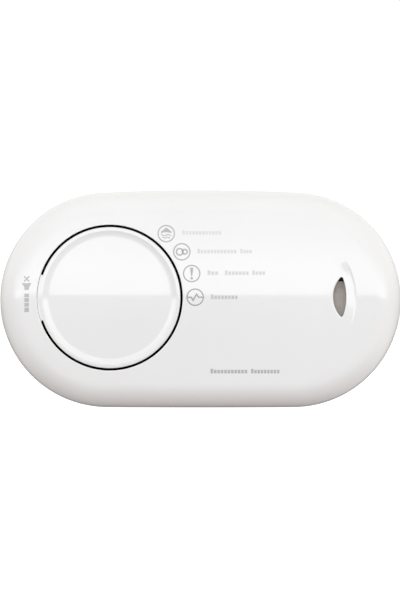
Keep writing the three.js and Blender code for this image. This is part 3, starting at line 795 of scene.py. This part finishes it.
def ring_stroke(x, z, radius, line, steps=64):
    """A ring of one line width as quads."""
    outer = round_points(radius + line / 2, steps)
    inner = round_points(radius - line / 2, steps)
    quads = []
    for i in range(steps):
        j = (i + 1) % steps
        quads.append([(x + across, z + up) for across, up in (outer[i], outer[j], inner[j], inner[i])])
    return quads


def upright_bar(x, bottom, top, width):
    left, right = x - width / 2, x + width / 2
    return [(left, bottom), (right, bottom), (right, top), (left, top)]


def wave(middle_z, half, rise):
    steps = 18
    points = []
    for i in range(steps + 1):
        along = -half + 2 * half * i / steps
        points.append((along, middle_z + rise * math.sin(along / half * 1.5 * math.pi)))
    return points


# Each symbol is a list of outlines round the middle of its ring.
def ventilate_symbol():
    """Air moving under a roof."""
    line = 0.26
    roof = [
        (0, 1.85), (-1.65, 0.5), (-1.5, 0.15), (-0.7, 0.38), (0, 0.45), (0.7, 0.38), (1.5, 0.15), (1.65, 0.5),
    ]
    return [roof] + stroke_quads(wave(-0.45, 1.55, 0.2), line) + stroke_quads(wave(-1.2, 1.15, 0.16), line)


def alarm_symbol():
    """Two linked rings, one larger than the other."""
    line, steps = 0.44, 40
    return ring_stroke(-0.62, 0, 0.98, line, steps) + ring_stroke(0.92, 0, 0.7, line, steps)


def fault_symbol():
    """An exclamation mark."""
    wedge = [(-0.5, 1.75), (-0.16, -0.85), (0.16, -0.85), (0.5, 1.75)]
    dot_z, dot_radius = -1.42, 0.38
    return [wedge, [(x, dot_z + z) for x, z in round_points(dot_radius, 24)]]


def power_symbol():
    """A pulse across the ring."""
    pulse = [(-2.35, 0.0), (-1.1, -0.05), (-0.62, -0.95), (0.42, 0.95), (1.05, 0.0), (2.35, 0.0)]
    return stroke_quads(pulse, 0.4)


def ringed(symbol, at):
    outlines = [[(x + at.x, z + at.z) for x, z in outline] for outline in symbol]
    return inked(outlines + ring_stroke(at.x, at.z, MARK_RADIUS, MARK_LINE), touching=True)


def word(left, right, z):
    """A row of plain blocks in place of a word, the first a little taller."""
    count = max(2, round((right - left) / BLOCK_PITCH))
    pitch = (right - left) / count
    low = z - CAPTION_TALL / 2
    blocks = []
    for i in range(count):
        start, stop = left + i * pitch, left + (i + 1) * pitch - BLOCK_GAP
        top = low + CAPTION_TALL * (1.0 if i else FIRST_BLOCK)
        blocks.append([(start, low), (stop, low), (stop, top), (start, top)])
    return blocks


def silence_mark():
    """A loudspeaker under a cross, and plain blocks below it in place of a word."""
    half_cone = [(-1.45, 4.75), (-0.7, 3.5), (-0.65, 2.7)]
    cone = half_cone + [(-x, z) for x, z in reversed(half_cone)]
    outlines = [[(SPEAKER_X + x, z) for x, z in cone]]
    cross_half, cross_line, block_wide = 0.75, 0.44, 1.35
    for side in (-1, 1):
        ends = [
            (SPEAKER_X - cross_half * side, SPEAKER_CROSS_Z - cross_half),
            (SPEAKER_X + cross_half * side, SPEAKER_CROSS_Z + cross_half),
        ]
        outlines += stroke_quads(ends, cross_line)
    for bottom, top in ((0.5, 1.6), (-0.9, 0.25), (-2.3, -1.15), (-3.9, -2.55)):
        outlines.append(upright_bar(SPEAKER_X, bottom, top, block_wide))
    return inked(outlines)


# ------------------------------------------------------------------ materials
def new_material(name):
    material = bpy.data.materials.new(name)
    material.use_nodes = True
    tree = material.node_tree
    return material, tree, tree.nodes["Principled BSDF"]


def noise_node(tree, scale, detail=3.0, rough=0.5, stretch=None):
    """Noise in the row frame, in features per metre."""
    place = tree.nodes.new("ShaderNodeTexCoord")
    source = place.outputs["Object"]
    if stretch:
        mapping = tree.nodes.new("ShaderNodeMapping")
        mapping.inputs["Scale"].default_value = stretch
        tree.links.new(source, mapping.inputs["Vector"])
        source = mapping.outputs["Vector"]
    texture = tree.nodes.new("ShaderNodeTexNoise")
    texture.inputs["Scale"].default_value = scale
    texture.inputs["Detail"].default_value = detail
    texture.inputs["Roughness"].default_value = rough
    tree.links.new(source, texture.inputs["Vector"])
    return texture.outputs["Fac"]


def remap(tree, value, low, high):
    """Spreads the middle of a noise over the numbers from low to high."""
    node = tree.nodes.new("ShaderNodeMapRange")
    node.inputs["From Min"].default_value = 0.3
    node.inputs["From Max"].default_value = 0.7
    node.inputs["To Min"].default_value = low
    node.inputs["To Max"].default_value = high
    tree.links.new(value, node.inputs["Value"])
    return node.outputs["Result"]


def two_colours(tree, value, low, high, start=0.35, stop=0.65):
    ramp = tree.nodes.new("ShaderNodeValToRGB")
    for element, position, colour in zip(ramp.color_ramp.elements, (start, stop), (low, high)):
        element.position = position
        element.color = (*colour, 1)
    tree.links.new(value, ramp.inputs["Fac"])
    return ramp.outputs["Color"]


def bump(tree, shader, value, distance):
    node = tree.nodes.new("ShaderNodeBump")
    node.inputs["Distance"].default_value = distance * MM
    node.inputs["Strength"].default_value = 1.0
    tree.links.new(value, node.inputs["Height"])
    tree.links.new(node.outputs["Normal"], shader.inputs["Normal"])


def surface(name, low, high, rough, grain, depth, metallic=0.0, ior=1.5, patches=60.0):
    """A procedural finish: colour between two tones, roughness between two values, and a bump
    whose grain is in features per metre and whose depth is in millimetres."""
    material, tree, shader = new_material(name)
    shader.inputs["Metallic"].default_value = metallic
    shader.inputs["IOR"].default_value = ior
    tone = noise_node(tree, patches, 4.0)
    tree.links.new(two_colours(tree, tone, low, high), shader.inputs["Base Color"])
    wear = noise_node(tree, patches * 7, 5.0, 0.6)
    tree.links.new(remap(tree, wear, *rough), shader.inputs["Roughness"])
    bump(tree, shader, noise_node(tree, grain, 4.0, 0.55), depth)
    return material


def gloss_white():
    """Polished white ABS: almost a mirror, with a trace of flow and of fine handling marks."""
    material, tree, shader = new_material("gloss_white")
    shader.inputs["IOR"].default_value = 1.5
    tone = noise_node(tree, 26.0)
    colour = two_colours(tree, tone, (0.835, 0.832, 0.826), (0.852, 0.850, 0.846))
    tree.links.new(colour, shader.inputs["Base Color"])
    marks = noise_node(tree, 900.0, 6.0, 0.65, (1.0, 1.0, 0.18))
    tree.links.new(remap(tree, marks, 0.02, 0.045), shader.inputs["Roughness"])
    bump(tree, shader, noise_node(tree, 120.0, 2.0), 0.004)
    return material


def grey_felt():
    """Needled grey felt: fine fibres at two sizes, with a painted shade that darkens the colour in the
    hollows of its bump.
    """
    material, tree, shader = new_material("grey_felt")
    fibres = noise_node(tree, 5200.0, 5.0, 0.65, (1.0, 1.0, 0.6))
    # Fibre tones with painted shade: the colour follows the bump's height and is darker in its hollows.
    colour = two_colours(tree, fibres, (0.39, 0.355, 0.315), (0.56, 0.515, 0.47), 0.3, 0.7)
    tree.links.new(colour, shader.inputs["Base Color"])
    shader.inputs["Sheen Weight"].default_value = 0.3
    shader.inputs["Sheen Roughness"].default_value = 0.6
    tree.links.new(remap(tree, noise_node(tree, 1800.0), 0.85, 1.0), shader.inputs["Roughness"])
    bump(tree, shader, fibres, 0.12)
    return material


def board_green():
    """Green solder mask over copper: lighter tracks run between the parts in a broken grid."""
    material, tree, shader = new_material("board_green")
    place = tree.nodes.new("ShaderNodeTexCoord")
    turn = tree.nodes.new("ShaderNodeMapping")
    turn.inputs["Rotation"].default_value = (math.pi / 2, 0, 0)
    tracks = tree.nodes.new("ShaderNodeTexBrick")
    tracks.offset = 0.37
    tracks.squash = 0.6
    tracks.squash_frequency = 3
    for socket, value in (
        ("Scale", 90.0), ("Mortar Size", 0.035), ("Mortar Smooth", 0.2), ("Brick Width", 0.8),
        ("Row Height", 0.22), ("Color1", (0.010, 0.085, 0.030, 1)), ("Color2", (0.013, 0.100, 0.036, 1)),
        ("Mortar", (0.035, 0.22, 0.085, 1)),
    ):
        tracks.inputs[socket].default_value = value
    tree.links.new(place.outputs["Object"], turn.inputs["Vector"])
    tree.links.new(turn.outputs["Vector"], tracks.inputs["Vector"])
    tree.links.new(tracks.outputs["Color"], shader.inputs["Base Color"])
    tree.links.new(remap(tree, noise_node(tree, 1500.0), 0.22, 0.36), shader.inputs["Roughness"])
    bump(tree, shader, tracks.outputs["Fac"], 0.03)
    return material


def ink(name, tone):
    """Pad-printed grey ink, a little uneven in cover."""
    uneven = 0.03
    low, high = ((tone * share,) * 3 for share in (1 - uneven, 1 + uneven))
    return surface(name, low, high, (0.12, 0.25), 2600.0, 0.003, patches=900.0)


def led_plastic(name, colour):
    """Tinted clear resin."""
    material, tree, shader = new_material(name)
    shader.inputs["Transmission Weight"].default_value = 0.55
    shader.inputs["IOR"].default_value = 1.53
    dim = tuple(part * 0.8 for part in colour)
    cloud = two_colours(tree, noise_node(tree, 700.0), dim, colour)
    tree.links.new(cloud, shader.inputs["Base Color"])
    tree.links.new(remap(tree, noise_node(tree, 2400.0), 0.06, 0.14), shader.inputs["Roughness"])
    return material


# The numbers of a surface: two colours, the range of roughness, grain and depth, then metalness.
GLOSS = gloss_white()
SATIN = surface("satin_white", (0.80, 0.80, 0.79), (0.85, 0.85, 0.84), (0.38, 0.52), 5200.0, 0.03)
BLACK = surface("black_plastic", (0.012, 0.012, 0.013), (0.022, 0.022, 0.024), (0.4, 0.6), 4000.0, 0.02)
# Painted shade: a near-black, dull finish for the walls of the gap round the button, where only shadow falls.
GAP_SHADE = surface("painted_gap_shade", (0.004,) * 3, (0.007,) * 3, (0.7, 0.9), 4000.0, 0.01, ior=1.1)
FOAM = surface("black_foam", (0.004,) * 3, (0.016,) * 3, (0.85, 1.0), 2600.0, 0.15)
STEEL = surface("plated_steel", (0.52, 0.52, 0.53), (0.68, 0.68, 0.69), (0.18, 0.34), 1500.0, 0.008, 1.0)
JACKET = surface("battery_jacket", (0.035, 0.04, 0.055), (0.055, 0.06, 0.08), (0.18, 0.3), 900.0, 0.01)
CAN = surface("sensor_can", (0.45, 0.46, 0.48), (0.6, 0.61, 0.63), (0.28, 0.42), 2200.0, 0.01, 1.0)
BRASS = surface("brass_plate", (0.62, 0.45, 0.19), (0.8, 0.62, 0.3), (0.2, 0.36), 1800.0, 0.01, 1.0)
CERAMIC = surface("ceramic_disc", (0.62, 0.6, 0.55), (0.74, 0.72, 0.67), (0.3, 0.5), 3000.0, 0.01)
COPPER = surface("copper_winding", (0.38, 0.14, 0.06), (0.55, 0.24, 0.1), (0.25, 0.4), 1200.0, 0.03, 0.8)
LABEL = surface("label_foil", (0.62, 0.63, 0.64), (0.7, 0.71, 0.72), (0.3, 0.42), 3600.0, 0.01, 0.2)
FELT = grey_felt()
BOARD = board_green()


# ------------------------------------------------------------------ pieces
HOUSING = "housing"


def from_button(x, z):
    return math.hypot(x - BUTTON.x, z - BUTTON.z)


def under_face(x, y, z):
    return y - FRONT_Y - crown(x, z)


def on_well(x, y, z):
    """Is this point on the cover's walls round the button, below the rounded lip?"""
    margin = 0.1
    within = LEDGE_RADIUS - margin < from_button(x, z) < WELL_RADIUS + margin
    return within and under_face(x, y, z) > margin


def on_skirt(x, y, z):
    """Is this point on the button's side, below its rounded rim?"""
    margin, rim = 0.07, 0.2
    return abs(from_button(x, z) - BUTTON_RADIUS) < margin and under_face(x, y, z) > rim


# The walls of the narrow gap round the button get a near-black painted shade, which stands in for the shadow
# deep in the gap.
cover = piece("front_cover_moulding", front_cover(), GLOSS, HOUSING, ["front_cover"])
shaded(cover, GAP_SHADE, on_well)
button = piece("test_button_moulding", test_button(), GLOSS, "button", ["test_button"])
shaded(button, GAP_SHADE, on_skirt)
piece("rear_cover_moulding", rear_cover(), SATIN, HOUSING, ["rear_cover"], bevel=0.25)
piece("battery_door_moulding", battery_door(), SATIN, "door", ["battery_door"], bevel=0.3)

for node, way in (("battery_upper", 1), ("battery_lower", -1)):
    cell = piece(f"{node}_sleeved", aa_cell(node, way), JACKET, HOUSING, [node])
    shaded(cell, STEEL, bare_steel(node))

# The marks' tones run darker towards the bottom of the face.
for name, symbol, at, tone in (
    ("mark_ventilate", ventilate_symbol(), LEDS[0], 0.44),
    ("mark_alarm", alarm_symbol(), LEDS[1], 0.43),
    ("mark_fault", fault_symbol(), LEDS[2], 0.41),
    ("mark_power", power_symbol(), LEDS[3], 0.38),
):
    piece(name, ringed(symbol, at), ink(f"ink_{name}", tone), HOUSING)

# Each caption: the left and right ends of its words, its height and its tone, which runs darker towards the
# bottom of the face.
for name, words, z, tone in (
    ("caption_ventilate", [(-5.4, 6.4)], 19.75, 0.70),
    ("caption_alarm", [(-0.9, 10.9), (11.9, 15.5)], 14.15, 0.67),
    ("caption_fault", [(2.1, 5.5), (7.3, 14.6), (15.5, 19.5)], 7.7, 0.64),
    ("caption_power", [(3.1, 11.3)], 0.5, 0.56),
    ("caption_sensor", [(3.0, 14.2), (15.1, 23.8)], -21.7, 0.49),
):
    blocks = [outline for left, right in words for outline in word(left, right, z)]
    piece(name, inked(blocks), ink(f"ink_{name}", tone), HOUSING)

piece("mark_silence", silence_mark(), ink("ink_silence", 0.5), HOUSING)

# CAD nodes whose shape is right keep it and get their finish here.
LED_RED = (0.75, 0.06, 0.04)
LED_AMBER = (0.85, 0.4, 0.04)
LED_GREEN = (0.08, 0.55, 0.12)
FINISHES = {
    "sounder_gasket": FOAM, "sensor_gasket": FOAM, "vent_filter": FELT,
    "contact_negative": STEEL, "contact_positive": STEEL, "contact_bridge": STEEL,
    "sounder_spring_centre": STEEL, "sounder_spring_rim": STEEL,
    "circuit_board": BOARD, "light_shroud": BLACK, "switch_body": BLACK, "switch_stem": BLACK,
    "microcontroller": BLACK, "driver_coil": COPPER,
    "capacitor_large": JACKET, "capacitor_small": JACKET,
    "sounder_horn": BLACK, "sounder_plate": BRASS, "sounder_ceramic": CERAMIC,
    "sensor_cell": CAN, "sensor_cap": BLACK, "rating_label": LABEL,
    "led_ventilate": led_plastic("led_red", LED_RED),
    "led_alarm": led_plastic("led_red_second", LED_RED),
    "led_fault": led_plastic("led_amber", LED_AMBER),
    "led_power": led_plastic("led_green", LED_GREEN),
}
for kind, screws in (("case", SCREWS), ("board", POSTS)):
    for i in range(1, len(screws) + 1):
        FINISHES[f"{kind}_screw_{i}"] = STEEL

for name, material in FINISHES.items():
    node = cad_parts[name]
    node.data.materials.clear()
    node.data.materials.append(material)

# ------------------------------------------------------------------ light
# The studio is light by direction. Tones by height run from -1, straight below, to 1, straight up;
# tones from left to right and from front to back run from -1 to 1 as well.
FLOOR_LIGHT = ((-1.0, 0.4), (-0.4, 0.03), (-0.1, 0.0), (1.0, 0.0))
WALLS = ((-1.0, 0.0), (-0.1, 0.0), (0.3, 1.0), (1.0, 0.65))
GLOW = ((-1.0, 0.0), (-0.4, 1.0), (-0.1, 0.4), (0.3, 0.0), (1.0, 0.0))
SOFTBOX = (
    (-1.0, 0.0), (0.011, 0.0), (0.014, 1.0), (0.1, 1.0), (0.2, 0.48), (0.35, 0.075), (0.6, 0.0), (1.0, 0.0),
)
BOX_TOP = ((-1.0, 0.0), (0.2, 0.0), (0.35, 1.0), (0.6, 0.0), (1.0, 0.0))
BOX_CORNER = ((-1.0, 0.0), (0.1, 0.0), (0.2, 0.75), (0.35, 1.0), (0.6, 0.0), (1.0, 0.0))
LEFT_SIDE = ((-1.0, 1.0), (0.0, 0.0), (1.0, 0.0))
RIGHT_SIDE = ((-1.0, 0.0), (0.0, 0.0), (1.0, 1.0))
IN_FRONT = ((-1.0, 1.0), (-0.6, 1.0), (-0.15, 0.0), (1.0, 0.0))

BACKDROP = 1.05
ROSE = (1.0, 0.87, 0.85)
WHITE = (1.0, 0.985, 0.975)
WARM = (1.0, 0.98, 0.94)
AMBER = (1.0, 0.95, 0.85)
COOL = (0.91, 0.945, 1.0)

STUDIO = (
    # strength, tint, tones by height, by side and by depth, or None where they are even
    (1.12, ROSE, FLOOR_LIGHT, None, None),
    (1.12, WHITE, WALLS, None, None),
    (1.0, WARM, GLOW, LEFT_SIDE, None),
    (1.5, WARM, GLOW, RIGHT_SIDE, None),
    (3.0, COOL, SOFTBOX, None, IN_FRONT),
    (0.45, AMBER, BOX_TOP, LEFT_SIDE, IN_FRONT),
    (0.3, AMBER, BOX_CORNER, RIGHT_SIDE, IN_FRONT),
)


def tone_ramp(tree, value, tones):
    """Reads a tone for a value from -1 to 1 off a rising list of (value, tone) pairs."""
    place = tree.nodes.new("ShaderNodeMapRange")
    place.inputs["From Min"].default_value = -1.0
    place.inputs["From Max"].default_value = 1.0
    tree.links.new(value, place.inputs["Value"])
    node = tree.nodes.new("ShaderNodeValToRGB")
    tree.links.new(place.outputs["Result"], node.inputs["Fac"])
    elements = node.color_ramp.elements
    for i, (at, tone) in enumerate((tones[0], tones[-1], *tones[1:-1])):
        position = (at + 1) / 2
        element = elements[i] if i < 2 else elements.new(position)
        element.position = position
        element.color = (tone, tone, tone, 1)
    return node.outputs["Color"]


def vector_math(tree, operation, one, two):
    """Adds or multiplies a vector by another one, which is a socket or three plain numbers."""
    node = tree.nodes.new("ShaderNodeVectorMath")
    node.operation = operation
    tree.links.new(one, node.inputs[0])
    if isinstance(two, tuple):
        node.inputs[1].default_value = two
    else:
        tree.links.new(two, node.inputs[1])
    return node.outputs["Vector"]


def studio_world():
    """A white studio with a broad softbox in front, whose straight lower edge lies just above the
    level of the eye. The camera itself sees plain white behind the alarm."""
    world = bpy.data.worlds.new("studio")
    world.use_nodes = True
    tree = world.node_tree
    nodes, links = tree.nodes, tree.links
    surroundings = nodes["Background"]
    place = nodes.new("ShaderNodeTexCoord")
    split = nodes.new("ShaderNodeSeparateXYZ")
    links.new(place.outputs["Generated"], split.inputs["Vector"])
    total = None
    for strength, tint, by_height, by_side, by_depth in STUDIO:
        colour = tuple(strength * part for part in tint)
        light = vector_math(tree, "MULTIPLY", tone_ramp(tree, split.outputs["Z"], by_height), colour)
        for axis, tones in (("X", by_side), ("Y", by_depth)):
            if tones:
                light = vector_math(tree, "MULTIPLY", light, tone_ramp(tree, split.outputs[axis], tones))
        total = vector_math(tree, "ADD", total, light) if total else light
    links.new(total, surroundings.inputs["Color"])
    backdrop = nodes.new("ShaderNodeBackground")
    backdrop.inputs["Color"].default_value = (1, 1, 1, 1)
    backdrop.inputs["Strength"].default_value = BACKDROP
    path = nodes.new("ShaderNodeLightPath")
    mix = nodes.new("ShaderNodeMixShader")
    links.new(path.outputs["Is Camera Ray"], mix.inputs["Fac"])
    links.new(surroundings.outputs["Background"], mix.inputs[1])
    links.new(backdrop.outputs["Background"], mix.inputs[2])
    links.new(mix.outputs["Shader"], nodes["World Output"].inputs["Surface"])
    return world


# ------------------------------------------------------------------ stage and camera
FLOOR_HALF = 8.0
FLOOR_BELOW = 0.2


def pale_floor():
    """A floor that glows white by itself, so that it is as bright as the backdrop."""
    material, tree, shader = new_material("pale_floor")
    shader.inputs["Base Color"].default_value = (0.25, 0.25, 0.25, 1)
    shader.inputs["Roughness"].default_value = 0.9
    shader.inputs["Specular IOR Level"].default_value = 0.0
    shader.inputs["Emission Color"].default_value = (1, 1, 1, 1)
    shader.inputs["Emission Strength"].default_value = 1.0
    return material


def add_floor():
    """A large plain square just below the alarm, seen by the camera only."""
    mesh = bpy.data.meshes.new("floor")
    corners = [(-1, -1), (1, -1), (1, 1), (-1, 1)]
    mesh.from_pydata([(x * FLOOR_HALF, y * FLOOR_HALF, 0) for x, y in corners], [], [(0, 1, 2, 3)])
    mesh.materials.append(pale_floor())
    floor = add_object("floor", mesh)
    floor.location = (0, 0, cad_box[0][2] - FLOOR_BELOW * MM)
    floor.visible_diffuse = False
    floor.visible_glossy = False
    floor.visible_transmission = False
    floor.visible_shadow = False


# The camera looks straight at the front. FRAME_HEIGHT is what the picture's height shows at the
# alarm's outline, and the lens follows from it.
CAMERA_AWAY = 3.0
FRAME_HEIGHT = 0.1799
SENSOR = 36.0
AIM_X = -0.15
AIM_Z = -0.3
OUTLINE_Y = FRONT_Y + EDGE_DEEP + 1.6


def add_camera():
    data = bpy.data.cameras.new("camera")
    data.sensor_width = SENSOR
    data.lens = SENSOR * CAMERA_AWAY / FRAME_HEIGHT
    data.clip_start = 0.01
    camera = add_object("camera", data)
    camera.location = (AIM_X * MM, OUTLINE_Y * MM - CAMERA_AWAY, (MIDDLE_Z + AIM_Z) * MM)
    camera.rotation_euler = (math.pi / 2, 0, 0)
    return camera


scene = bpy.context.scene
scene.view_settings.view_transform = "Standard"
scene.view_settings.look = "None"
scene.world = studio_world()
add_floor()
scene.camera = add_camera()
